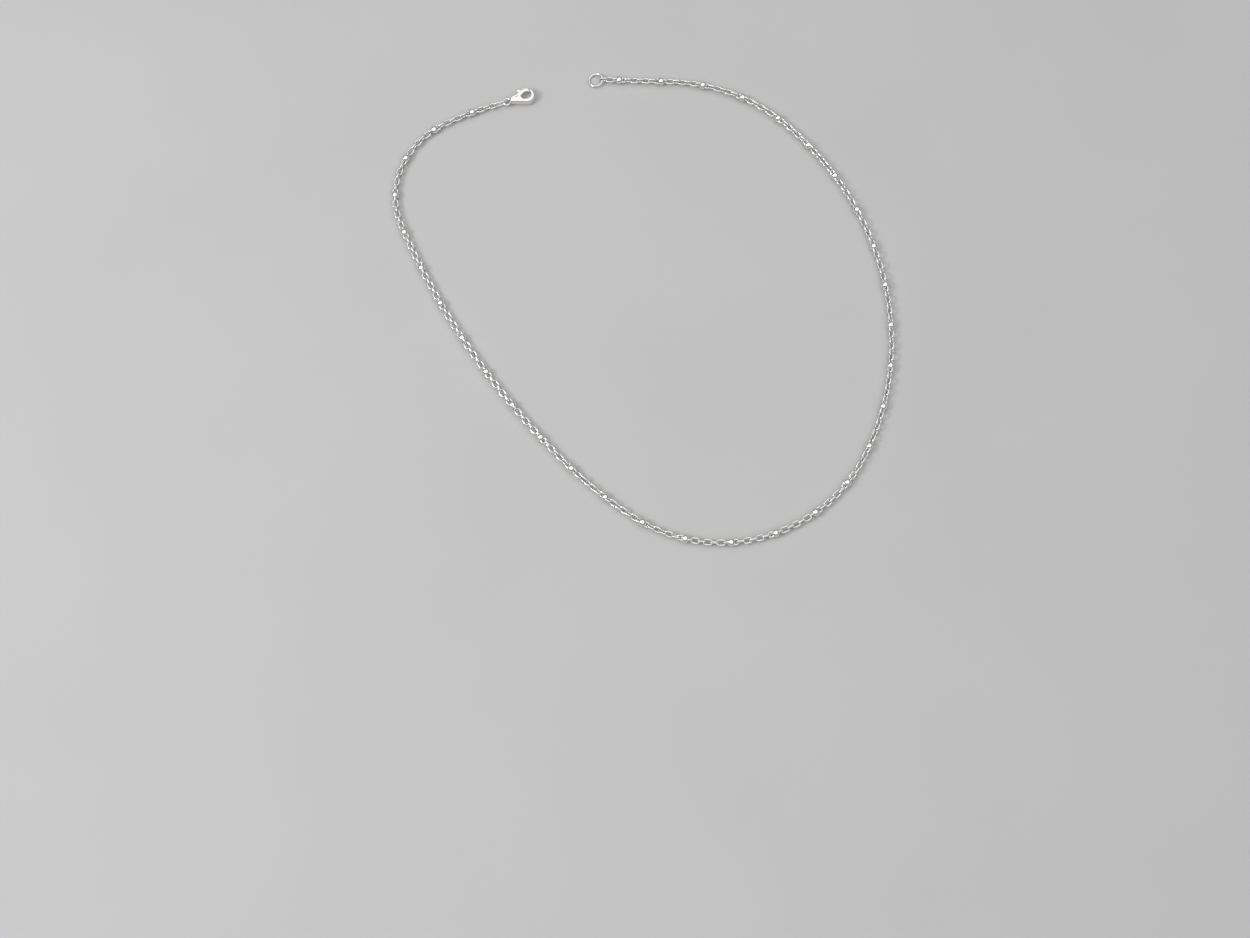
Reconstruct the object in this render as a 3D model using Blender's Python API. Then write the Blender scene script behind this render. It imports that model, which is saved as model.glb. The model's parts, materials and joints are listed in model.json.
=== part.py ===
"""Fine cable-chain necklace with a small ball on every seventh link, laid flat with its clasp undone.

Metres, +Z up. The chain lies on z = 0 and the box of the laid loop is centred on the origin.
"""
from math import acos, atan2, cos, degrees, pi, radians, sin

import bmesh
import bpy
from mathutils import Matrix, Vector

MM = 0.001

# Chain links: oval, bent from round wire, each at right angles to the next
WIRE = 0.50 * MM
LINK_LENGTH = 2.58 * MM
LINK_WIDTH = 1.80 * MM
LINK_TIP = 0.90 * MM  # straight bar across each end, along the middle of the wire
SOLDER = 0.10 * MM  # how far the soldered links of one run sink into each other
PLAY = 0.08 * MM  # clear space between two wires that hook loosely

# Runs: seven links and the ball that covers one of their crossings
LINKS_PER_RUN = 7
LINKS_BEFORE_BALL = 4
BALL = 2.16 * MM
BALL_SIDES = 8
BALL_BANDS = 6
RUNS_PER_SIDE = 16

# Oval ring that carries the clasp, standing on edge
CLASP_RING_WIRE = 0.50 * MM
CLASP_RING_LENGTH = 3.80 * MM
CLASP_RING_WIDTH = 2.10 * MM
CLASP_RING_TIP = 1.00 * MM

# Round ring that the clasp catches, tipped so that its far side lies on the table
CATCH_RING_WIRE = 0.60 * MM
CATCH_RING_WIDTH = 4.40 * MM
RING_SIDES = 6
CATCH_RING_POINTS = 16

# Lobster claw, measured from the middle of its eye towards the nose
CLAW_THICKNESS = 2.16 * MM
CLAW_EDGE = 0.30 * MM  # rounding of the cast edges
EYE_WIDTH = 2.50 * MM
EYE_HOLE = 1.30 * MM
EYE_THICKNESS = 0.80 * MM
NECK_FROM_EYE = 0.90 * MM
NECK_WIDTH = 1.50 * MM
HEAD_WIDTH = 4.60 * MM
MOUTH_WIDTH = 2.60 * MM
MOUTH_RUN = 0.50 * MM  # straight part of the mouth
RIVET_FROM_EYE = 2.90 * MM
RIVET_OFF_AXIS = 0.45 * MM
RIVET = 0.70 * MM
RIVET_PLAY = 0.06 * MM
SLOT = 1.10 * MM  # height of the slot that the trigger turns in
SLOT_PLAY = 0.12 * MM
HUB = 1.24 * MM
GATE_REACH = 4.00 * MM  # from the rivet to the tip of the gate
GATE_PAST_HEAD = 1.10 * MM  # how far that reach goes past the middle of the head
GATE_PLAY = 0.12 * MM
GATE_SETBACK = 0.12 * MM  # how far the gate lies inside the outline of the head
TAB_REACH = 2.45 * MM  # from the axis of the claw to the end of the thumb tab
TAB_WIDTH = 0.80 * MM
SPRING_WIRE = 0.22 * MM
SPRING_LENGTH = 1.50 * MM
TRIGGER_TURN = 28  # degrees that the gate opens inwards
TRIGGER_SPARE = 2  # degrees of free space past that

# How the chain lies: stretches outward from the front of the loop, as (runs, turn in degrees)
LEFT, RIGHT = -1, 1
FRONT_HEADING = 17
FRONT_BALL_ALONG = 2.6 * MM  # how far the front ball lies to the right of where the stretches start
LAY = {
    LEFT: ((3, 51), (2, 12), (7, 21), (3, 83), (4, 38)),
    RIGHT: ((3, 46), (3, 26), (6, 47), (3, 42), (4, 0)),
}
# How the links roll about the chain, as (runs from the front ball, degrees)
ROLL = ((-17, 90), (-6, 90), (-4, 45), (-2.5, 45), (-1.5, 5), (1, 5), (3, 45), (9, 45), (11, 8), (17, 0))

HEIGHT = BALL / 2
FIXED_PITCH = LINK_LENGTH - 2 * WIRE + SOLDER
LOOSE_PITCH = LINK_LENGTH - 2 * WIRE - PLAY
RUN_LENGTH = (LINKS_PER_RUN - 1) * FIXED_PITCH + LOOSE_PITCH
LINK_REACH = (LINK_LENGTH - WIRE) / 2
RUNS = 2 * RUNS_PER_SIDE + 1
HEAD_FROM_EYE = RIVET_FROM_EYE + GATE_REACH - GATE_PAST_HEAD


def material(name, colour, roughness):
    made = bpy.data.materials.new(name)
    made.use_nodes = True
    shader = made.node_tree.nodes["Principled BSDF"]
    shader.inputs["Base Color"].default_value = (*colour, 1)
    shader.inputs["Metallic"].default_value = 1
    shader.inputs["Roughness"].default_value = roughness
    made.diffuse_color = (*colour, 1)
    return made


# The route of the chain


def lay_at(distance):
    """The point and heading of the chain at a signed distance from the front ball, to the right of it."""
    along = distance + FRONT_BALL_ALONG
    side = RIGHT if along >= 0 else LEFT
    left_to_go = abs(along)
    heading = radians(FRONT_HEADING)
    point = Vector((0, 0, HEIGHT))
    for runs, turn in LAY[side]:
        stretch = runs * RUN_LENGTH
        used = min(left_to_go, stretch)
        bend = side * radians(turn) * used / stretch
        chord = used * sin(bend / 2) / (bend / 2) if bend else used
        way = heading + bend / 2
        point += side * chord * Vector((cos(way), sin(way), 0))
        heading += bend
        left_to_go -= used
    return point, heading


def roll_at(distance):
    """The roll of the links in radians, read off ROLL between its two nearest places."""
    place = distance / RUN_LENGTH
    for (start, first), (end, last) in zip(ROLL, ROLL[1:]):
        if place <= end:
            share = (place - start) / (end - start)
            return radians(first + share * (last - first))
    return radians(ROLL[-1][1])


def link_distance(run, link):
    """How far along the chain a link's middle is from the front ball."""
    return (run - RUNS_PER_SIDE) * RUN_LENGTH + (link - LINKS_BEFORE_BALL + 0.5) * FIXED_PITCH


def link_place(run, link):
    """A link's own frame: x along the chain, y across its eye."""
    distance = link_distance(run, link)
    point, heading = lay_at(distance)
    upright = (run * LINKS_PER_RUN + link) % 2 == 0
    roll = roll_at(distance) + (pi / 2 if upright else 0)
    return Matrix.Translation(point) @ Matrix.Rotation(heading, 4, "Z") @ Matrix.Rotation(roll, 4, "X")


def ball_place(run):
    point, heading = lay_at((run - RUNS_PER_SIDE) * RUN_LENGTH)
    return Matrix.Translation(point) @ Matrix.Rotation(heading, 4, "Z") @ Matrix.Rotation(pi / 2, 4, "Y")


def hinge_of(run):
    """The bar that a run turns on: the end of its neighbour nearer the front. The front run has its ball."""
    if run == RUNS_PER_SIDE:
        return ball_place(run)
    if run > RUNS_PER_SIDE:
        return link_place(run - 1, LINKS_PER_RUN - 1) @ Matrix.Translation((LINK_REACH, 0, 0))
    return link_place(run + 1, 0) @ Matrix.Translation((-LINK_REACH, 0, 0))


# Meshes


def oval(length, width, tip):
    """Six points of an oval with a straight bar across each end."""
    reach, half, bar = length / 2, width / 2, tip / 2
    return [(reach, -bar), (reach, bar), (0, half), (-reach, bar), (-reach, -bar), (0, -half)]


def long_oval(length, width, tip):
    """Eight points: an oval with straight ends and straight sides."""
    reach, half, bar = length / 2, width / 2, tip / 2
    side = reach - (half - bar)
    right = [(side, -half), (reach, -bar), (reach, bar), (side, half)]
    return right + [(-x, -y) for x, y in right]


def circle(radius, count, middle=(0, 0), start=0, turn=2 * pi):
    """Points round a circle, or along an arc of it with both ends."""
    steps = count if abs(turn) == 2 * pi else count - 1
    angles = [start + turn * n / steps for n in range(count)]
    return [(middle[0] + radius * cos(a), middle[1] + radius * sin(a)) for a in angles]


def wire_loop(bm, path, wire, sides, place):
    """A closed loop of wire along a flat path that runs anticlockwise, mitred at its points."""
    points = [Vector(p) for p in path]
    rings = []
    for n, point in enumerate(points):
        along_in = (point - points[n - 1]).normalized()
        along_out = (points[(n + 1) % len(points)] - point).normalized()
        outward = Vector((along_in.y + along_out.y, -along_in.x - along_out.x)).normalized()
        mitre = wire / 2 / cos(acos(min(1, along_in.dot(along_out))) / 2)
        ring = []
        for k in range(sides):
            angle = 2 * pi * k / sides
            flat = point + outward * mitre * cos(angle)
            ring.append(bm.verts.new(place @ Vector((flat.x, flat.y, wire / 2 * sin(angle)))))
        rings.append(ring)
    for n, ring in enumerate(rings):
        ahead = rings[(n + 1) % len(rings)]
        for k in range(sides):
            after = (k + 1) % sides
            bm.faces.new((ring[k], ahead[k], ahead[after], ring[after]))


def wire_bar(bm, path, wire, sides):
    """An open length of wire along a flat path, with flat ends."""
    points = [Vector((x, y, 0)) for x, y in path]
    rings = []
    for n, point in enumerate(points):
        along = (points[min(n + 1, len(points) - 1)] - points[max(n - 1, 0)]).normalized()
        across = Vector((along.y, -along.x, 0))
        angles = [2 * pi * k / sides for k in range(sides)]
        up = Vector((0, 0, 1))
        rings.append([bm.verts.new(point + wire / 2 * (across * cos(a) + up * sin(a))) for a in angles])
    for ring, ahead in zip(rings, rings[1:]):
        for k in range(sides):
            after = (k + 1) % sides
            bm.faces.new((ring[k], ahead[k], ahead[after], ring[after]))
    bm.faces.new(rings[0])
    bm.faces.new(reversed(rings[-1]))


def prism(bm, outline, low, high):
    """A flat outline that runs anticlockwise, as a slab between two heights."""
    bottom = [bm.verts.new((x, y, low)) for x, y in outline]
    face = bm.faces.new(reversed(bottom))
    raised = bmesh.ops.extrude_face_region(bm, geom=[face])["geom"]
    verts = [v for v in raised if isinstance(v, bmesh.types.BMVert)]
    bmesh.ops.translate(bm, vec=(0, 0, high - low), verts=verts)
    bmesh.ops.recalc_face_normals(bm, faces=bm.faces)


def solid(build):
    """A mesh from a function that fills an empty bmesh."""
    bm = bmesh.new()
    build(bm)
    mesh = bpy.data.meshes.new("solid")
    bm.to_mesh(mesh)
    bm.free()
    return mesh


def combined(base, *steps):
    """A mesh after Boolean steps, each (operation, mesh)."""
    things = [bpy.data.objects.new("step", mesh) for mesh in (base, *(mesh for _, mesh in steps))]
    for thing in things:
        bpy.context.collection.objects.link(thing)
    for (operation, _), other in zip(steps, things[1:]):
        cut = things[0].modifiers.new("step", "BOOLEAN")
        cut.operation = operation
        cut.object = other
    seen = things[0].evaluated_get(bpy.context.evaluated_depsgraph_get())
    made = bpy.data.meshes.new_from_object(seen)
    for thing in things:
        bpy.data.objects.remove(thing)
    return made


def rounded(mesh, width):
    """The mesh with its square edges rounded."""
    bm = bmesh.new()
    bm.from_mesh(mesh)
    square = [e for e in bm.edges if degrees(e.calc_face_angle(0)) > 60]
    bmesh.ops.bevel(bm, geom=square, offset=width, segments=2, profile=0.5, affect="EDGES")
    bm.to_mesh(mesh)
    bm.free()
    return mesh


def node(name, mesh, finish, origin, carrier=None):
    """An object whose origin is on its joint, carried by the piece that it turns on."""
    made = bpy.data.objects.new(name, mesh)
    bpy.context.collection.objects.link(made)
    mesh.transform(origin.inverted())
    mesh.materials.clear()
    mesh.materials.append(finish)
    mesh.shade_smooth()
    mesh.set_sharp_from_angle(angle=radians(50))
    made.matrix_world = origin
    if carrier:
        made.parent = carrier
        made.matrix_parent_inverse = carrier.matrix_world.inverted()
    bpy.context.view_layer.update()
    return made


# Chain


def run_mesh(run):
    """Seven links and a ball, soldered where they cross."""
    path = oval(LINK_LENGTH - WIRE, LINK_WIDTH - WIRE, LINK_TIP)

    def links(first):
        def build(bm):
            for link in range(first, LINKS_PER_RUN, 2):
                wire_loop(bm, path, WIRE, 4, link_place(run, link))

        return solid(build)

    def ball(bm):
        bmesh.ops.create_uvsphere(
            bm, u_segments=BALL_SIDES, v_segments=BALL_BANDS, radius=BALL / 2, matrix=ball_place(run)
        )

    return combined(links(0), ("UNION", links(1)), ("UNION", solid(ball)))


def make_chain(finish):
    """The runs from the clasp end to the catch end, each carried by its neighbour nearer the front."""
    made = {}
    outward = sorted(range(RUNS), key=lambda run: abs(run - RUNS_PER_SIDE))
    for run in outward:
        inner = run - 1 if run > RUNS_PER_SIDE else run + 1
        carrier = made.get(inner) if run != RUNS_PER_SIDE else None
        made[run] = node(f"chain_run_{run + 1:02d}", run_mesh(run), finish, hinge_of(run), carrier)
    return made


# End rings


def clasp_ring_place():
    """The oval ring's frame: x towards the clasp, hooked over the first link's end."""
    hold = (WIRE + CLASP_RING_WIRE) / 2 + PLAY
    middle = LINK_REACH - hold + (CLASP_RING_LENGTH - CLASP_RING_WIRE) / 2
    end = link_place(0, 0) @ Matrix.Rotation(pi, 4, "Z")
    return end @ Matrix.Translation((middle, 0, 0)) @ Matrix.Rotation(pi / 2, 4, "X")


def make_clasp_ring(finish, carrier):
    length = CLASP_RING_LENGTH - CLASP_RING_WIRE
    path = long_oval(length, CLASP_RING_WIDTH - CLASP_RING_WIRE, CLASP_RING_TIP)
    mesh = solid(lambda bm: wire_loop(bm, path, CLASP_RING_WIRE, RING_SIDES, clasp_ring_place()))
    origin = link_place(0, 0) @ Matrix.Translation((-LINK_REACH, 0, 0))
    return node("clasp_ring", mesh, finish, origin, carrier)


def catch_ring_place():
    """The round ring's frame: hooked over the last link's end, its far side tipped down to the table."""
    reach = (CATCH_RING_WIDTH - CATCH_RING_WIRE) / 2
    hold = (WIRE + CATCH_RING_WIRE) / 2 + PLAY
    tip = (HEIGHT - CATCH_RING_WIRE / 2) / (2 * reach)
    point, heading = lay_at(link_distance(RUNS - 1, LINKS_PER_RUN - 1))
    level = Matrix.Translation(point) @ Matrix.Rotation(heading, 4, "Z")
    hooked = level @ Matrix.Translation((LINK_REACH - hold, 0, 0))
    return hooked @ Matrix.Rotation(tip, 4, "Y") @ Matrix.Translation((reach, 0, 0))


def make_catch_ring(finish, carrier):
    path = circle((CATCH_RING_WIDTH - CATCH_RING_WIRE) / 2, CATCH_RING_POINTS)
    mesh = solid(lambda bm: wire_loop(bm, path, CATCH_RING_WIRE, RING_SIDES, catch_ring_place()))
    origin = link_place(RUNS - 1, LINKS_PER_RUN - 1) @ Matrix.Translation((LINK_REACH, 0, 0))
    return node("catch_ring", mesh, finish, origin, carrier)


# Clasp


def claw_place():
    """The claw's frame: flat on the table, its eye held by the oval ring, x towards the nose."""
    ring = clasp_ring_place()
    way = ring.to_3x3() @ Vector((1, 0, 0))
    held = (CLASP_RING_LENGTH - CLASP_RING_WIRE) / 2 - CLASP_RING_WIRE / 2 - PLAY + EYE_HOLE / 2
    point = ring @ Vector((held, 0, 0))
    return Matrix.Translation(point) @ Matrix.Rotation(atan2(way.y, way.x), 4, "Z")


def clasp_hinge():
    """The end bar of the oval ring, which the claw swings on."""
    return clasp_ring_place() @ Matrix.Translation(((CLASP_RING_LENGTH - CLASP_RING_WIRE) / 2, 0, 0))


def rivet_point():
    return RIVET_FROM_EYE, RIVET_OFF_AXIS


def claw_outline():
    """A teardrop: a narrow neck at the eye and a round head."""
    side = radians(105)
    head = circle(HEAD_WIDTH / 2, 19, (HEAD_FROM_EYE, 0), -side, 2 * side)
    return [*head, (NECK_FROM_EYE, NECK_WIDTH / 2), (NECK_FROM_EYE, -NECK_WIDTH / 2)]


def mouth_outline():
    """The space that the caught ring lies in."""
    radius = MOUTH_WIDTH / 2
    nose = circle(radius, 9, (HEAD_FROM_EYE, 0), -pi / 2, pi)
    return nose + circle(radius, 9, (HEAD_FROM_EYE - MOUTH_RUN, 0), pi / 2, pi)


def gate_corner():
    """The angle at the rivet of the gate's inner corner when the gate is shut."""
    radius = MOUTH_WIDTH / 2 + GATE_SETBACK
    head = (HEAD_FROM_EYE, 0)
    angle = meeting(radius, head, GATE_REACH, rivet_point())
    across = Vector(head) + radius * Vector((cos(angle), sin(angle))) - Vector(rivet_point())
    return atan2(across.y, across.x)


def gate_sweep():
    """The space that the gate turns through, round the rivet."""
    low = gate_corner() - radians(TRIGGER_TURN + TRIGGER_SPARE)
    high = radians(75)
    outer = circle(GATE_REACH + GATE_PLAY, 12, rivet_point(), low, high - low)
    return outer + circle(HUB, 8, rivet_point(), high, low - high)


def trigger_outline():
    """The gate along the head's edge, a thumb tab, and a hub on the rivet."""
    x, y = rivet_point()
    head = (HEAD_FROM_EYE, 0)
    outer = HEAD_WIDTH / 2 - GATE_SETBACK
    inner = MOUTH_WIDTH / 2 + GATE_SETBACK
    tip_out, tip_in = (meeting(radius, head, GATE_REACH, rivet_point()) for radius in (outer, inner))
    back = radians(120)
    outside = circle(outer, 6, head, tip_out, back - tip_out)
    tab_start = outside[-1][0] - TAB_WIDTH / 2
    tab = [(tab_start, TAB_REACH), (tab_start - TAB_WIDTH, TAB_REACH)]
    hub = circle(HUB / 2, 7, (x, y), radians(100), radians(170))
    inside = circle(inner, 6, head, radians(145), tip_in - radians(145))
    return outside + tab + hub + inside


def meeting(radius, middle, reach, pivot):
    """The angle on a circle about middle, on its upper side, of the point at reach from the pivot."""
    across = Vector(pivot) - Vector(middle)
    far = across.length
    half = acos((radius**2 + far**2 - reach**2) / (2 * radius * far))
    return atan2(across.y, across.x) - half


def claw_mesh():
    half = CLAW_THICKNESS / 2
    x, y = rivet_point()
    slot_edge = HUB / 2 + SLOT_PLAY
    floor = y - slot_edge - SPRING_WIRE - 2 * SLOT_PLAY
    slot = [
        (x - slot_edge, floor),
        (HEAD_FROM_EYE, floor),
        (HEAD_FROM_EYE, HEAD_WIDTH),
        (x - slot_edge - TAB_WIDTH / 2, HEAD_WIDTH),
    ]
    body = rounded(solid(lambda bm: prism(bm, claw_outline(), -half, half)), CLAW_EDGE)
    eye = solid(lambda bm: prism(bm, circle(EYE_WIDTH / 2, 16), -EYE_THICKNESS / 2, EYE_THICKNESS / 2))
    over = CLAW_THICKNESS
    cutters = [
        solid(lambda bm: prism(bm, outline, -over, over))
        for outline in (
            circle(EYE_HOLE / 2, 12),
            mouth_outline(),
            gate_sweep(),
            circle(RIVET / 2 + RIVET_PLAY, 12, rivet_point()),
        )
    ]
    cutters.append(solid(lambda bm: prism(bm, slot, -SLOT / 2, SLOT / 2)))
    return combined(body, ("UNION", eye), *(("DIFFERENCE", cutter) for cutter in cutters))


def trigger_mesh():
    half = SLOT / 2 - SLOT_PLAY
    lever = rounded(solid(lambda bm: prism(bm, trigger_outline(), -half, half)), SLOT_PLAY)
    hole = solid(lambda bm: prism(bm, circle(RIVET / 2 + RIVET_PLAY, 12, rivet_point()), -SLOT, SLOT))
    return combined(lever, ("DIFFERENCE", hole))


def spring_path():
    """A bowed wire under the hub, its ends on the floor of the slot."""
    x, y = rivet_point()
    top = y - HUB / 2 - SLOT_PLAY - SPRING_WIRE / 2
    bow = SLOT_PLAY
    half = SPRING_LENGTH / 2
    return [(x - half + half * n / 2, top - bow * (n / 2 - 1) ** 2) for n in range(5)]


def make_clasp(finish, steel, carrier):
    """The claw with its rivet and spring, and the trigger that turns on the rivet."""
    place = claw_place()
    hinge = clasp_hinge()
    half = CLAW_THICKNESS / 2

    def placed(mesh):
        mesh.transform(place)
        return mesh

    claw = node("clasp_claw", placed(claw_mesh()), finish, hinge, carrier)
    rivet = solid(lambda bm: prism(bm, circle(RIVET / 2, 12, rivet_point()), -half, half))
    node("clasp_rivet", placed(rivet), finish, hinge, claw)
    spring = solid(lambda bm: wire_bar(bm, spring_path(), SPRING_WIRE, RING_SIDES))
    node("clasp_spring", placed(spring), steel, hinge, claw)
    pivot = place @ Matrix.Translation((*rivet_point(), 0))
    node("clasp_trigger", placed(trigger_mesh()), finish, pivot, claw)
    return claw


# The whole necklace


def centre(front):
    """Moves the necklace so that its box is centred on the origin."""
    points = [o.matrix_world @ v.co for o in bpy.context.scene.objects for v in o.data.vertices]
    for axis in range(2):
        places = [point[axis] for point in points]
        front.location[axis] -= (min(places) + max(places)) / 2
    bpy.context.view_layer.update()


def main():
    for thing in list(bpy.data.objects):
        bpy.data.objects.remove(thing)
    silver = material("polished_silver", (0.90, 0.89, 0.87), 0.12)
    steel = material("spring_steel", (0.55, 0.55, 0.56), 0.30)
    runs = make_chain(silver)
    ring = make_clasp_ring(silver, runs[0])
    make_clasp(silver, steel, ring)
    make_catch_ring(silver, runs[RUNS - 1])
    centre(runs[RUNS_PER_SIDE])


main()
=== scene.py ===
"""Silver cable-chain necklace laid flat: oval links, a ball on every seventh and a lobster claw clasp."""
import json
from math import atan2, cos, pi, radians, sin

import bpy
from mathutils import Matrix, Vector


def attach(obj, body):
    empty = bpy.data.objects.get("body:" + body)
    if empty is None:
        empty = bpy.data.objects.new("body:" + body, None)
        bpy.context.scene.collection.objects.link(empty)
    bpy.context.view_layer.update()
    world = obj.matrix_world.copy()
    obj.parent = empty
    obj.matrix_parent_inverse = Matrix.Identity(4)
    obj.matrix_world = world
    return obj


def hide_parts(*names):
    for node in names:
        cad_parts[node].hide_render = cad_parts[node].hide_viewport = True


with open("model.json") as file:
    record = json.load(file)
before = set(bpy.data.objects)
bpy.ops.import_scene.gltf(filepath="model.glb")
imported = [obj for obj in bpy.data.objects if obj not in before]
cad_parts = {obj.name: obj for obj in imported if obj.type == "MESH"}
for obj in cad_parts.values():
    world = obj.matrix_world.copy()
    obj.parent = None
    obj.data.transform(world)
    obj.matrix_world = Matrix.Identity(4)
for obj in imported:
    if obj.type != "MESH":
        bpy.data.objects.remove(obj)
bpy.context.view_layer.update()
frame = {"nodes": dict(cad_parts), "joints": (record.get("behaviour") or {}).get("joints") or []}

MM = 0.001

# Chain links
WIRE = 0.50 * MM
LINK_LENGTH = 2.58 * MM
LINK_WIDTH = 1.80 * MM
ROUNDING = 0.04 * MM  # how much fuller the round wire is than the four-sided wire of the solids
LINK_STEPS = 16  # wire sections round one link
LINK_SIDES = 5  # sides of the wire
SOLDER = 0.10 * MM  # how far the soldered links of one run sink into each other
PLAY = 0.08 * MM  # clear space between two wires that hook loosely

# Runs of links, each with one ball
LINKS_PER_RUN = 7
LINKS_BEFORE_BALL = 4
RUNS_PER_SIDE = 16
BALL = 2.16 * MM
BALL_STEPS = 20
BALL_RINGS = 12
SEAM = 0.06 * MM  # from the middle of the joint between the ball's half shells to its rim
SEAM_RADIUS = 0.985  # radius at the bottom of that joint, as a share of the ball's

# End rings
CLASP_RING_WIRE = 0.50 * MM
CLASP_RING_LENGTH = 3.80 * MM
CLASP_RING_WIDTH = 2.10 * MM
CATCH_RING_WIRE = 0.60 * MM
CATCH_RING_WIDTH = 4.40 * MM
CUT_PINCH = (0.50, 0.86, 0.86)  # shares that the wire shrinks to at the split ring's cut, along and across
RING_STEPS = 36
RING_SIDES = 12

# Lobster claw, measured from the middle of its eye towards the nose
CLAW_THICKNESS = 2.16 * MM
EYE_WIDTH = 2.50 * MM
EYE_HOLE = 1.30 * MM
EYE_THICKNESS = 0.80 * MM
NECK_FROM_EYE = 0.90 * MM
NECK_LENGTH = 0.08 * MM
NECK_WIDTH = 1.50 * MM
HEAD_FROM_EYE = 5.80 * MM
HEAD_WIDTH = 4.60 * MM
MOUTH_WIDTH = 2.60 * MM
MOUTH_RUN = 0.50 * MM  # straight part of the mouth
RIVET_AT = (2.90 * MM, 0.45 * MM)
RIVET = 0.70 * MM
RIVET_PLAY = 0.06 * MM
SLOT = 1.10 * MM  # height of the slot that the trigger turns in
SLOT_PLAY = 0.12 * MM
HUB = 1.24 * MM
GATE_REACH = 4.00 * MM  # from the rivet to the tip of the gate
GATE_PLAY = 0.12 * MM
GATE_SETBACK = 0.12 * MM  # how far the gate lies inside the outline of the head
GATE_BACK = 135  # degrees round the head, from the nose, at which the gate meets its arm
GATE_SPACE = (-23.1, 75)  # degrees round the rivet that the claw leaves free for the gate
TAB_REACH = 2.45 * MM  # from the axis of the claw to the end of the thumb tab
TAB_WIDTH = 0.80 * MM
SPRING_WIRE = 0.22 * MM

# Edges of the clasp
CLAW_EDGE = 0.62 * MM  # rounding of the cast rim
CLAW_EDGE_STEPS = 6
TRIGGER_EDGE = 0.14 * MM
TRIGGER_EDGE_STEPS = 3
CUT_EDGE = 0.05 * MM  # rounding of the edges that the cuts leave, and of the rivet
CUT_EDGE_STEPS = 2
FINE = 64  # points round the turned shapes
FLAT = 1  # degrees between two faces up to which they become one
SHARP = 35  # degrees between two faces from which their edge is rounded
SMOOTH = 38  # degrees between two faces up to which they are shaded as one

# How the chain lies: stretches outward from the front of the loop, as (runs, turn in degrees)
LEFT, RIGHT = -1, 1
FRONT_HEADING = 17  # degrees
FRONT_BALL_ALONG = 2.6 * MM  # how far right of the front of the loop the front ball lies
LAY = {
    LEFT: ((3, 51), (2, 12), (7, 21), (3, 83), (4, 38)),
    RIGHT: ((3, 46), (3, 26), (6, 47), (3, 42), (4, 0)),
}
# How the links roll about the chain, as (runs from the front ball, degrees)
ROLL = ((-17, 90), (-6, 90), (-4, 45), (-2.5, 45), (-1.5, 5), (1, 5), (3, 45), (9, 45), (11, 8), (17, 0))

# Camera, in metres and degrees
CAMERA_DISTANCE = 0.442
CAMERA_ELEVATION = 71
CAMERA_AIM = Vector((-0.0039, -0.0477, 0.0011))
FOCAL_LENGTH = 50  # millimetres, as a lens is marked
SENSOR_WIDTH = 36  # millimetres

# Table and light, in metres and degrees
TABLE_SIZE = 6
OVERHEAD_PLACE = Vector((0, -0.05, 1.00))
OVERHEAD_POWER = 1.95
OVERHEAD_SPREAD = 110  # how much of the sky the light from above fills
KEY_PLACE = Vector((-0.60, -0.15, 0.55))
KEY_POWER = 2.2
KEY_SIZE = 0.25
HORIZON_TONE = (0.45, 0.45, 0.45, 1)
CEILING_TONE = (0.18, 0.18, 0.19, 1)
CEILING_RISE = 4  # how fast the tone changes from the horizon up to the ceiling

# Worked out from the sizes above
HEIGHT = BALL / 2  # of the middle of the chain over the table
FIXED_PITCH = LINK_LENGTH - 2 * WIRE + SOLDER
LOOSE_PITCH = LINK_LENGTH - 2 * WIRE - PLAY
RUN_LENGTH = (LINKS_PER_RUN - 1) * FIXED_PITCH + LOOSE_PITCH
LINK_REACH = (LINK_LENGTH - WIRE) / 2  # from the middle of a link to the middle of its end bar
RUNS = 2 * RUNS_PER_SIDE + 1
SPRING_ROOM = SPRING_WIRE + 3 * SLOT_PLAY  # the spring, its bow and the play over and under it
DISH_RIM = RIVET / 6
DISH_DEPTH = RIVET / 12
SMALL = 0.01 * MM


# Where things lie


def lay_at(distance):
    """The point and heading of the chain at a distance from the front ball, less than 0 on its left."""
    along = distance + FRONT_BALL_ALONG
    side = RIGHT if along >= 0 else LEFT
    left_to_go = abs(along)
    heading = radians(FRONT_HEADING)
    point = Vector((0, 0, HEIGHT))
    for runs, turn in LAY[side]:
        stretch = runs * RUN_LENGTH
        used = min(left_to_go, stretch)
        bend = side * radians(turn) * used / stretch
        chord = used * sin(bend / 2) / (bend / 2) if bend else used
        way = heading + bend / 2
        point += side * chord * Vector((cos(way), sin(way), 0))
        heading += bend
        left_to_go -= used
    return point, heading


def roll_at(distance):
    """The roll of the links in radians, read off ROLL between its two nearest places."""
    place = distance / RUN_LENGTH
    for (start, first), (end, last) in zip(ROLL, ROLL[1:]):
        if place <= end:
            share = (place - start) / (end - start)
            return radians(first + share * (last - first))
    return radians(ROLL[-1][1])


def level_frame(point, heading):
    """A frame at a point, with x along a heading and z up."""
    return Matrix.Translation(point) @ Matrix.Rotation(heading, 4, "Z")


def link_distance(run, link):
    """How far along the chain a link's middle is from the front ball."""
    return (run - RUNS_PER_SIDE) * RUN_LENGTH + (link - LINKS_BEFORE_BALL + 0.5) * FIXED_PITCH


def link_lay(run, link):
    """A link's frame on the lay: x along the chain, y across its eye."""
    distance = link_distance(run, link)
    point, heading = lay_at(distance)
    upright = (run * LINKS_PER_RUN + link) % 2 == 0
    roll = roll_at(distance) + (pi / 2 if upright else 0)
    return level_frame(point, heading) @ Matrix.Rotation(roll, 4, "X")


def lay_to_table():
    """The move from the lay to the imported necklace, read off the first pivot left of the front."""
    name = f"link_pivot_{RUNS_PER_SIDE:02d}"
    pivot = next(joint for joint in frame["joints"] if joint["name"] == name)
    bar = link_lay(RUNS_PER_SIDE, 0) @ Vector((-LINK_REACH, 0, 0))
    return Matrix.Translation(Vector(pivot["pos_m"]) - bar)


TO_TABLE = lay_to_table()


def link_place(run, link):
    """A link's frame on the table."""
    return TO_TABLE @ link_lay(run, link)


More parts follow.
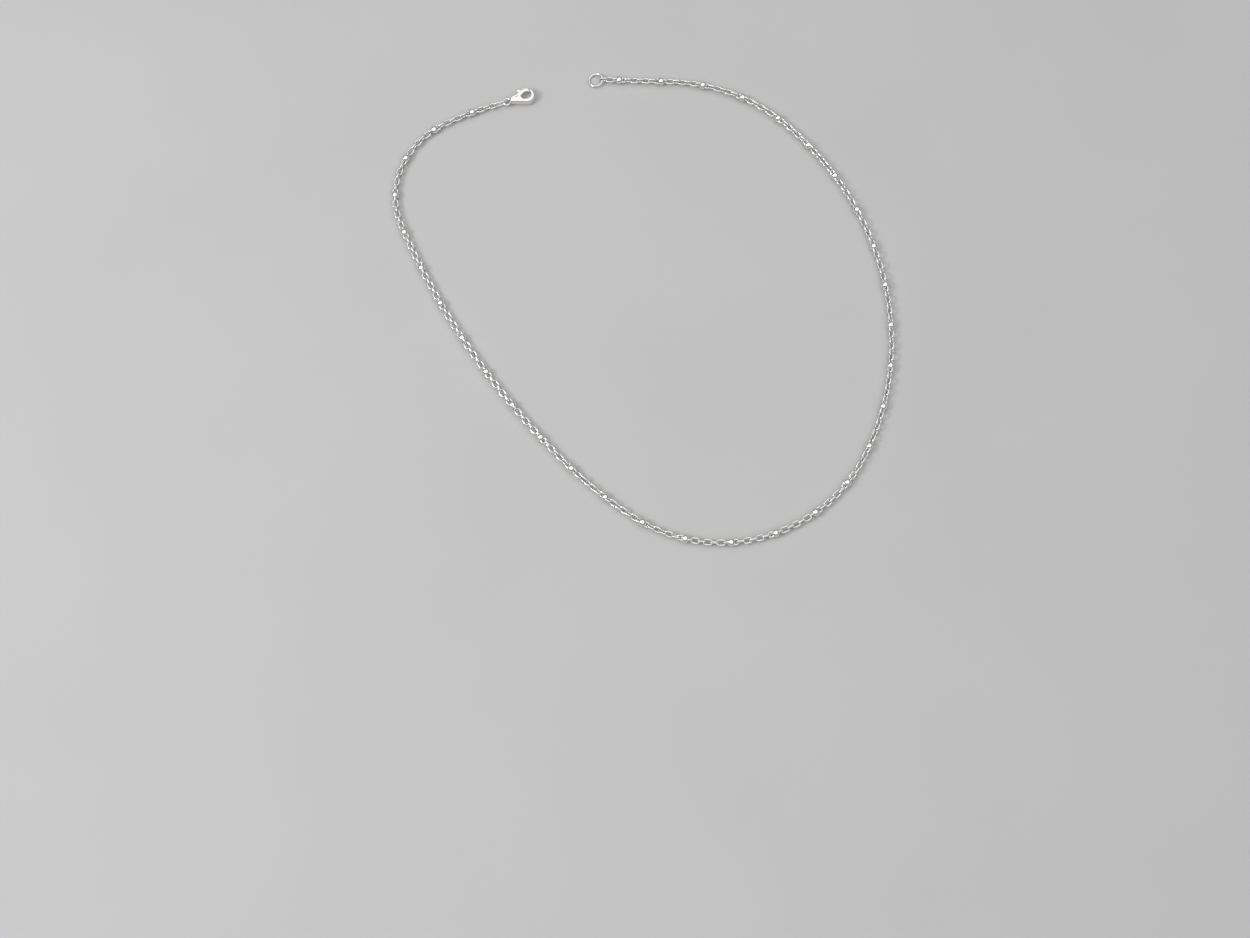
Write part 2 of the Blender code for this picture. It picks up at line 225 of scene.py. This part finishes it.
def ball_place(run):
    """A ball's frame: z along the chain, so that the joint of its half shells lies across it."""
    point, heading = lay_at((run - RUNS_PER_SIDE) * RUN_LENGTH)
    return TO_TABLE @ level_frame(point, heading) @ Matrix.Rotation(pi / 2, 4, "Y")


def clasp_ring_place():
    """The oval ring's frame: x towards the clasp, hooked over the first link's end."""
    hold = (WIRE + CLASP_RING_WIRE) / 2 + PLAY
    middle = LINK_REACH - hold + (CLASP_RING_LENGTH - CLASP_RING_WIRE) / 2
    end = link_place(0, 0) @ Matrix.Rotation(pi, 4, "Z")
    return end @ Matrix.Translation((middle, 0, 0)) @ Matrix.Rotation(pi / 2, 4, "X")


def catch_ring_place():
    """The round ring's frame: hooked over the last link's end, its far side tipped down to the table."""
    reach = (CATCH_RING_WIDTH - CATCH_RING_WIRE) / 2
    hold = (WIRE + CATCH_RING_WIRE) / 2 + PLAY
    tip = (HEIGHT - CATCH_RING_WIRE / 2) / (2 * reach)
    point, heading = lay_at(link_distance(RUNS - 1, LINKS_PER_RUN - 1))
    hooked = TO_TABLE @ level_frame(point, heading) @ Matrix.Translation((LINK_REACH - hold, 0, 0))
    return hooked @ Matrix.Rotation(tip, 4, "Y") @ Matrix.Translation((reach, 0, 0))


def claw_place():
    """The claw's frame: flat on the table, its eye held by the oval ring, x towards the nose."""
    ring = clasp_ring_place()
    way = ring.to_3x3() @ Vector((1, 0, 0))
    held = CLASP_RING_LENGTH / 2 - CLASP_RING_WIRE - PLAY + EYE_HOLE / 2
    return level_frame(ring @ Vector((held, 0, 0)), atan2(way.y, way.x))


# Finishes


class Signal:
    """A socket in a finish. Sums on signals add their Math nodes."""

    def __init__(self, finish, socket):
        self.finish = finish
        self.socket = socket

    def maths(self, operation, first, second):
        """Adds a Math node for an operation on two signals or numbers."""
        return self.finish.node("ShaderNodeMath", {"operation": operation}, {0: first, 1: second})

    def __add__(self, other):
        return self.maths("ADD", self, other)

    def __radd__(self, other):
        return self.maths("ADD", other, self)

    def __mul__(self, other):
        return self.maths("MULTIPLY", self, other)

    def __rmul__(self, other):
        return self.maths("MULTIPLY", other, self)


class Finish:
    """A material, or the world round the stage, and the nodes that are added to it."""

    def __init__(self, name, owner=None):
        self.owner = owner or bpy.data.materials.new(name)
        self.owner.use_nodes = True
        self.tree = self.owner.node_tree

    def node(self, kind, settings, values, output=0):
        """Adds a node, sets it up, feeds its sockets and gives back one of its outputs."""
        made = self.tree.nodes.new(kind)
        for setting, value in settings.items():
            setattr(made, setting, value)
        self.feed(made, values)
        return Signal(self, made.outputs[output])

    def feed(self, made, values):
        """Links signals to a node's sockets and sets plain values on the others."""
        for name, value in values.items():
            if isinstance(value, Signal):
                self.tree.links.new(value.socket, made.inputs[name])
            else:
                made.inputs[name].default_value = value

    def noise(self, size, detail, warp=0):
        """Cloudy values from 0 to 1, with patches of about a size in metres."""
        place = self.node("ShaderNodeTexCoord", {}, {}, "Object")
        values = {"Vector": place, "Scale": 1 / size, "Detail": detail, "Distortion": warp}
        return self.node("ShaderNodeTexNoise", {}, values, "Fac")

    def colour_mix(self, share, first, second):
        """A colour between two colours, by a share from 0 to 1."""
        # A Mix node has sockets for every kind of value. These are the ones that colours use.
        share_in, first_in, second_in, mixed_out = 0, 6, 7, 2
        values = {share_in: share, first_in: first, second_in: second}
        return self.node("ShaderNodeMix", {"data_type": "RGBA"}, values, mixed_out)

    def shade(self, values):
        """Feeds the material's surface and gives the material back."""
        self.feed(self.tree.nodes["Principled BSDF"], values)
        return self.owner


def silver_finish():
    """Polished silver: bright, faintly hazed in patches, with painted shade where links bear on each other.
    """
    finish = Finish("polished_silver_haze_and_painted_shade")
    haze = finish.noise(size=1.6 * MM, detail=3, warp=0.4)
    hairlines = finish.noise(size=0.09 * MM, detail=4, warp=1.5)
    # the seats mark where the finish paints shade between the links and dulls the surface
    seat = finish.node("ShaderNodeAttribute", {"attribute_name": "seat"}, {}, "Fac")
    bright = (0.93, 0.925, 0.91, 1)
    hazed = (0.80, 0.79, 0.765, 1)
    # painted shade: the colour that the seats are darkened towards, as shade between the links
    painted_seat_shade = (0.27, 0.25, 0.23, 1)
    seat_shade_share = 0.75
    polished = 0.05
    haze_dulls = 0.12
    seat_dulls = 0.25
    body = finish.colour_mix(haze, bright, hazed)
    # darkens the seats with painted shade
    colour = finish.colour_mix(seat * seat_shade_share, body, painted_seat_shade)
    depths = {"Strength": 0.06, "Distance": 0.01 * MM, "Height": hairlines}
    relief = finish.node("ShaderNodeBump", {}, depths)
    roughness = polished + haze * haze_dulls + seat * seat_dulls
    return finish.shade({"Base Color": colour, "Metallic": 1.0, "Roughness": roughness, "Normal": relief})


def steel_finish():
    """Drawn spring wire: greyer and duller than the silver."""
    finish = Finish("spring_steel_drawn")
    streaks = finish.noise(size=0.2 * MM, detail=3, warp=1.0)
    drawn = (0.50, 0.50, 0.52, 1)
    streaked = (0.36, 0.36, 0.37, 1)
    smooth = 0.24
    streaks_dull = 0.15
    colour = finish.colour_mix(streaks, drawn, streaked)
    return finish.shade({"Base Color": colour, "Metallic": 1.0, "Roughness": smooth + streaks * streaks_dull})


def table_finish():
    """Pale matt table top with a barely uneven tone."""
    finish = Finish("pale_table")
    tone = finish.noise(size=60 * MM, detail=4)
    pale = (0.54, 0.54, 0.54, 1)
    shaded = (0.50, 0.50, 0.50, 1)
    colour = finish.colour_mix(tone, pale, shaded)
    return finish.shade({"Base Color": colour, "Roughness": 0.75})


# Ways of working


def deselect():
    """Lets go of all that is selected."""
    bpy.ops.object.select_all(action="DESELECT")


def take_up(piece):
    """Makes a piece the only one that is selected, and the active one."""
    deselect()
    piece.select_set(True)
    bpy.context.view_layer.objects.active = piece


def started(name):
    """The active object, such as a primitive that was just added, with its name."""
    piece = bpy.context.active_object
    piece.name = name
    return piece


def pick_points(piece, wanted):
    """Goes to edit mode with only those points of a piece selected whose place passes a test."""
    bpy.ops.object.mode_set(mode="EDIT")
    bpy.ops.mesh.select_mode(type="VERT")
    bpy.ops.mesh.select_all(action="DESELECT")
    bpy.ops.object.mode_set(mode="OBJECT")
    for point in piece.data.vertices:
        point.select = wanted(point.co)
    bpy.ops.object.mode_set(mode="EDIT")


def copied(pattern, place):
    """A copy of a modelled shape with its own mesh, at a place."""
    copy = pattern.copy()
    copy.data = pattern.data.copy()
    bpy.context.collection.objects.link(copy)
    copy.matrix_world = place
    return copy


def one_piece(name, shapes):
    """Shapes joined into one piece at the origin, with its place in its mesh."""
    deselect()
    for shape in shapes:
        shape.select_set(True)
    bpy.context.view_layer.objects.active = shapes[0]
    if len(shapes) > 1:
        bpy.ops.object.join()
    bpy.ops.object.transform_apply(location=True, rotation=True, scale=True)
    return started(name)


def wire_oval(name, length, width, wire, steps, sides):
    """A ring of round wire drawn out to an oval along x, with a flat of the ring across each end."""
    deselect()
    radius = (width - wire) / 2 / cos(pi / steps)
    bpy.ops.mesh.primitive_torus_add(
        major_radius=radius, minor_radius=wire / 2, major_segments=steps, minor_segments=sides,
        rotation=(0, 0, pi / steps),
    )
    bpy.ops.object.transform_apply(location=True, rotation=True, scale=True)
    ring = started(name)
    draw = (length - width) / 2
    for way in (1, -1):
        pick_points(ring, lambda place: place.x * way > SMALL)
        bpy.ops.transform.translate(value=(way * draw, 0, 0))
        bpy.ops.object.mode_set(mode="OBJECT")
    bpy.ops.object.shade_smooth()
    return ring


def disc(name, radius, height, middle):
    """A round block that stands on the plane of the clasp."""
    deselect()
    bpy.ops.mesh.primitive_cylinder_add(vertices=FINE, radius=radius, depth=height, location=(*middle, 0))
    bpy.ops.object.transform_apply(location=True, rotation=True, scale=True)
    return started(name)


def bar(name, low, high, height):
    """A square block between two corners on the plane of the clasp."""
    deselect()
    bpy.ops.mesh.primitive_cube_add(size=1)
    block = started(name)
    block.location = ((low[0] + high[0]) / 2, (low[1] + high[1]) / 2, 0)
    block.scale = (high[0] - low[0], high[1] - low[1], height)
    bpy.ops.object.transform_apply(location=True, rotation=True, scale=True)
    return block


def wrapped(name, *shapes):
    """One tight hull drawn round shapes, with its flats in one face each."""
    piece = one_piece(name, shapes)
    bpy.ops.object.mode_set(mode="EDIT")
    bpy.ops.mesh.select_all(action="SELECT")
    bpy.ops.mesh.convex_hull()
    bpy.ops.mesh.select_all(action="SELECT")
    bpy.ops.mesh.dissolve_limited(angle_limit=radians(FLAT))
    bpy.ops.mesh.normals_make_consistent(inside=False)
    bpy.ops.object.mode_set(mode="OBJECT")
    return piece


def halved(piece, point, normal):
    """Cuts away what lies behind a plane and closes the cut."""
    take_up(piece)
    bpy.ops.object.mode_set(mode="EDIT")
    bpy.ops.mesh.select_all(action="SELECT")
    bpy.ops.mesh.bisect(plane_co=point, plane_no=normal, use_fill=True, clear_inner=True)
    bpy.ops.mesh.select_all(action="SELECT")
    bpy.ops.mesh.normals_make_consistent(inside=False)
    bpy.ops.object.mode_set(mode="OBJECT")


def applied(piece, modifier):
    """Applies a modifier to a piece."""
    take_up(piece)
    bpy.ops.object.modifier_apply(modifier=modifier.name)


def worked(piece, operation, tool):
    """Adds a shape to a piece, cuts it out of it, or keeps what they share."""
    step = piece.modifiers.new("step", "BOOLEAN")
    step.operation = operation
    step.object = tool
    applied(piece, step)
    bpy.data.objects.remove(tool)


def rounded(piece, width, segments):
    """Rounds the sharp edges of a piece."""
    step = piece.modifiers.new("rounding", "BEVEL")
    step.width = width
    step.segments = segments
    step.limit_method = "ANGLE"
    step.angle_limit = radians(SHARP)
    applied(piece, step)


def smoothed(piece):
    """Shades a piece smooth, with its sharp edges and its flats kept."""
    take_up(piece)
    bpy.ops.object.shade_smooth_by_angle(angle=radians(SMOOTH))
    step = piece.modifiers.new("flats", "WEIGHTED_NORMAL")
    step.keep_sharp = True
    applied(piece, step)


# Chain and rings


def mark_seats(link):
    """Marks the inside of both ends, where the neighbours bear, for the finish to paint shade on and dull."""
    seat = link.data.attributes.new("seat", "FLOAT", "POINT")
    half_width = WIRE * 0.75
    start = LINK_REACH - WIRE
    end = LINK_REACH - WIRE / 4
    for point in link.data.vertices:
        inside = abs(point.co.y) < half_width and start < abs(point.co.x) < end
        seat.data[point.index].value = 1.0 if inside else 0.0


def model_link():
    """One oval link, with the places marked where its neighbours bear on it."""
    fuller = [size + ROUNDING for size in (LINK_LENGTH, LINK_WIDTH, WIRE)]
    link = wire_oval("link", *fuller, LINK_STEPS, LINK_SIDES)
    mark_seats(link)
    return link


def model_ball():
    """One ball of two half shells, with their joint as a fine groove round it."""
    deselect()
    bpy.ops.mesh.primitive_uv_sphere_add(segments=BALL_STEPS, ring_count=BALL_RINGS, radius=BALL / 2)
    ball = started("ball")
    pick_points(ball, lambda place: abs(place.z) < SMALL)
    bpy.ops.mesh.bevel(offset=SEAM, segments=2, affect="EDGES")
    bpy.ops.object.mode_set(mode="OBJECT")
    pick_points(ball, lambda place: abs(place.z) < SMALL)
    bpy.ops.transform.resize(value=(SEAM_RADIUS, SEAM_RADIUS, 1), center_override=(0, 0, 0))
    bpy.ops.object.mode_set(mode="OBJECT")
    bpy.ops.object.shade_smooth()
    return ball


def model_oval_ring():
    """The oval ring that carries the clasp."""
    return wire_oval(
        "oval_ring", CLASP_RING_LENGTH, CLASP_RING_WIDTH, CLASP_RING_WIRE, RING_STEPS, RING_SIDES
    )


def model_split_ring():
    """The round ring that the claw catches, with the wire drawn in where it is cut."""
    ring = wire_oval(
        "split_ring", CATCH_RING_WIDTH, CATCH_RING_WIDTH, CATCH_RING_WIRE, RING_STEPS, RING_SIDES
    )
    side = (CATCH_RING_WIDTH - CATCH_RING_WIRE) / 2
    pick_points(ring, lambda place: abs(place.x) < CATCH_RING_WIRE / 2 and place.y > 0)
    bpy.ops.transform.resize(value=CUT_PINCH, center_override=(0, side, 0))
    bpy.ops.object.mode_set(mode="OBJECT")
    return ring


# Clasp


def gate_space():
    """The space that the gate turns through, round the rivet, as a tool for cutting."""
    through = 2 * CLAW_THICKNESS
    space = disc("gate_space", GATE_REACH + GATE_PLAY, through, RIVET_AT)
    low, high = (radians(angle) for angle in GATE_SPACE)
    pivot = (*RIVET_AT, 0)
    halved(space, pivot, (-sin(low), cos(low), 0))
    halved(space, pivot, (sin(high), -cos(high), 0))
    worked(space, "DIFFERENCE", disc("hub_space", HUB, 2 * through, RIVET_AT))
    return space


def slot_space():
    """The slot between the cheeks of the claw, as a tool for cutting."""
    x, y = RIVET_AT
    back = x - HUB / 2 - SLOT_PLAY
    floor = y - HUB / 2 - SPRING_ROOM
    tab_back = back - TAB_WIDTH / 2
    inner = bar("slot_floor", (back, floor), (HEAD_FROM_EYE, floor + SLOT_PLAY), SLOT)
    outer = bar("slot_mouth", (tab_back, HEAD_WIDTH), (HEAD_FROM_EYE, HEAD_WIDTH + SLOT_PLAY), SLOT)
    return wrapped("slot_space", inner, outer)


def mouth_space():
    """The opening that the catch ring goes through, as a tool for cutting."""
    radius = MOUTH_WIDTH / 2
    through = 2 * CLAW_THICKNESS
    nose = disc("mouth_nose", radius, through, (HEAD_FROM_EYE, 0))
    root = disc("mouth_root", radius, through, (HEAD_FROM_EYE - MOUTH_RUN, 0))
    return wrapped("mouth_space", nose, root)


def rivet_space(height):
    """The bore that the rivet goes through, as a tool for cutting."""
    return disc("rivet_space", RIVET / 2 + RIVET_PLAY, height, RIVET_AT)


def model_eye():
    """The ring at the neck of the claw, a flattened round section."""
    deselect()
    middle = (EYE_WIDTH + EYE_HOLE) / 4
    section = (EYE_WIDTH - EYE_HOLE) / 4
    bpy.ops.mesh.primitive_torus_add(
        major_radius=middle, minor_radius=section, major_segments=RING_STEPS, minor_segments=RING_SIDES
    )
    eye = started("eye")
    bpy.ops.object.mode_set(mode="EDIT")
    bpy.ops.mesh.select_all(action="SELECT")
    taller = EYE_THICKNESS / 2 / section
    bpy.ops.transform.resize(value=(1, 1, taller), center_override=(0, 0, 0))
    bpy.ops.object.mode_set(mode="OBJECT")
    return eye


def model_claw():
    """The cast claw: a rounded teardrop with its eye, mouth, gate opening and slot."""
    head = disc("head", HEAD_WIDTH / 2, CLAW_THICKNESS, (HEAD_FROM_EYE, 0))
    low = (NECK_FROM_EYE, -NECK_WIDTH / 2)
    high = (NECK_FROM_EYE + NECK_LENGTH, NECK_WIDTH / 2)
    claw = wrapped("claw", head, bar("neck", low, high, CLAW_THICKNESS))
    rounded(claw, CLAW_EDGE, CLAW_EDGE_STEPS)
    worked(claw, "DIFFERENCE", mouth_space())
    worked(claw, "DIFFERENCE", gate_space())
    worked(claw, "DIFFERENCE", slot_space())
    worked(claw, "DIFFERENCE", rivet_space(2 * CLAW_THICKNESS))
    worked(claw, "UNION", model_eye())
    rounded(claw, CUT_EDGE, CUT_EDGE_STEPS)
    smoothed(claw)
    return claw


def model_gate(inner, outer, thickness):
    """The gate: a stretch of a ring round the head, from the gate's tip to its arm."""
    head = (HEAD_FROM_EYE, 0)
    gate = disc("gate", outer, thickness, head)
    worked(gate, "DIFFERENCE", disc("gate_inside", inner, 2 * thickness, head))
    worked(gate, "INTERSECT", disc("gate_reach", GATE_REACH, 2 * thickness, RIVET_AT))
    back = radians(GATE_BACK)
    halved(gate, (*head, 0), (0, 1, 0))
    halved(gate, (*head, 0), (sin(back), -cos(back), 0))
    return gate


def model_tab(shoulder, root, thickness):
    """The thumb tab, from the shoulder of the gate out through the slot."""
    tip = TAB_WIDTH / 4
    end = (shoulder[0] - TAB_WIDTH, TAB_REACH - tip)
    side = (end[0] + TAB_WIDTH / 2, end[1])
    return wrapped(
        "thumb_tab",
        disc("tab_root", root, thickness, shoulder),
        disc("tab_end", tip, thickness, end),
        disc("tab_side", tip, thickness, side),
    )


def model_trigger():
    """The gate, its thumb tab and its hub in one lever."""
    thickness = SLOT - 2 * SLOT_PLAY
    outer = HEAD_WIDTH / 2 - GATE_SETBACK
    inner = MOUTH_WIDTH / 2 + GATE_SETBACK
    lever = model_gate(inner, outer, thickness)
    middle = (outer + inner) / 2
    root = (outer - inner) / 2
    back = radians(GATE_BACK)
    shoulder = (HEAD_FROM_EYE + middle * cos(back), middle * sin(back))
    hub = disc("hub", HUB / 2, thickness, RIVET_AT)
    worked(lever, "UNION", wrapped("trigger_arm", hub, disc("shoulder", root, thickness, shoulder)))
    worked(lever, "UNION", model_tab(shoulder, root, thickness))
    worked(lever, "DIFFERENCE", rivet_space(2 * thickness))
    rounded(lever, TRIGGER_EDGE, TRIGGER_EDGE_STEPS)
    smoothed(lever)
    return lever


def model_rivet():
    """The rivet, with softened rims and a shallow dish in each end."""
    rivet = disc("rivet", RIVET / 2, CLAW_THICKNESS, RIVET_AT)
    for way in (1, -1):
        pick_points(rivet, lambda place: place.z * way > 0)
        bpy.ops.mesh.inset(thickness=DISH_RIM)
        bpy.ops.transform.translate(value=(0, 0, -way * DISH_DEPTH))
        bpy.ops.object.mode_set(mode="OBJECT")
    rounded(rivet, CUT_EDGE, CUT_EDGE_STEPS)
    smoothed(rivet)
    return rivet


# The necklace


def dress(piece, silver, body, node):
    """Gives a piece its finish, hides the solid it stands for and hangs it on what carries it."""
    piece.data.materials.clear()
    piece.data.materials.append(silver)
    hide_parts(node)
    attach(piece, body)


def make_chain(silver):
    """The runs of links with their balls, from the clasp to the catch ring."""
    link = model_link()
    ball = model_ball()
    for run in range(RUNS):
        shapes = [copied(link, link_place(run, place)) for place in range(LINKS_PER_RUN)]
        shapes.append(copied(ball, ball_place(run)))
        node = f"chain_run_{run + 1:02d}"
        dress(one_piece(f"links_{run + 1:02d}", shapes), silver, node, node)
    bpy.data.objects.remove(link)
    bpy.data.objects.remove(ball)


def make_ends(silver, steel):
    """The rings and the clasp at the ends of the chain. The spring keeps its solid."""
    parts = (
        ("oval_ring", model_oval_ring, clasp_ring_place, "clasp_ring", "clasp_ring"),
        ("split_ring", model_split_ring, catch_ring_place, "catch_ring", "catch_ring"),
        ("claw", model_claw, claw_place, "clasp", "clasp_claw"),
        ("rivet", model_rivet, claw_place, "clasp", "clasp_rivet"),
        ("trigger", model_trigger, claw_place, "clasp_trigger", "clasp_trigger"),
    )
    for name, model, place, body, node in parts:
        piece = model()
        piece.matrix_world = place()
        dress(one_piece(name, [piece]), silver, body, node)
    for holder in frame["nodes"]["clasp_spring"].material_slots:
        holder.material = steel


# The stage


def make_table():
    """The table top that the necklace lies on."""
    deselect()
    bpy.ops.mesh.primitive_plane_add(size=TABLE_SIZE)
    table = started("table_top")
    table.data.materials.append(table_finish())


def hang_lamp(name, kind, place, power):
    """A lamp that points at the middle of the necklace."""
    lamp = bpy.data.lights.new(name, kind)
    lamp.energy = power
    holder = bpy.data.objects.new(name, lamp)
    bpy.context.collection.objects.link(holder)
    holder.location = place
    holder.rotation_euler = (-place).to_track_quat("-Z", "Y").to_euler()
    return lamp


def make_light():
    """A broad soft light from above, a smaller soft box on the left and a dim studio round them."""
    overhead = hang_lamp("overhead_lamp", "SUN", OVERHEAD_PLACE, OVERHEAD_POWER)
    overhead.angle = radians(OVERHEAD_SPREAD)
    key = hang_lamp("key_lamp", "AREA", KEY_PLACE, KEY_POWER)
    key.size = KEY_SIZE
    world = bpy.data.worlds.new("studio")
    bpy.context.scene.world = world
    finish = Finish("studio", world)
    way = finish.node("ShaderNodeTexCoord", {}, {}, "Generated")
    height = finish.node("ShaderNodeSeparateXYZ", {}, {"Vector": way}, "Z")
    rise = finish.node("ShaderNodeClamp", {}, {"Value": height * CEILING_RISE})
    colour = finish.colour_mix(rise, HORIZON_TONE, CEILING_TONE)
    finish.feed(finish.tree.nodes["Background"], {"Color": colour, "Strength": 1.0})


def make_camera():
    """The photograph's camera, looking down at the chain from the front."""
    lens = bpy.data.cameras.new("camera")
    lens.lens = FOCAL_LENGTH
    lens.sensor_width = SENSOR_WIDTH
    camera = bpy.data.objects.new("camera", lens)
    bpy.context.collection.objects.link(camera)
    tilt = radians(CAMERA_ELEVATION)
    camera.location = CAMERA_AIM + CAMERA_DISTANCE * Vector((0, -cos(tilt), sin(tilt)))
    camera.rotation_euler = (pi / 2 - tilt, 0, 0)
    bpy.context.scene.camera = camera


def main():
    """Dresses the necklace and sets the stage."""
    silver = silver_finish()
    steel = steel_finish()
    make_chain(silver)
    make_ends(silver, steel)
    make_table()
    make_light()
    make_camera()
    bpy.context.scene.view_settings.view_transform = "Standard"


main()
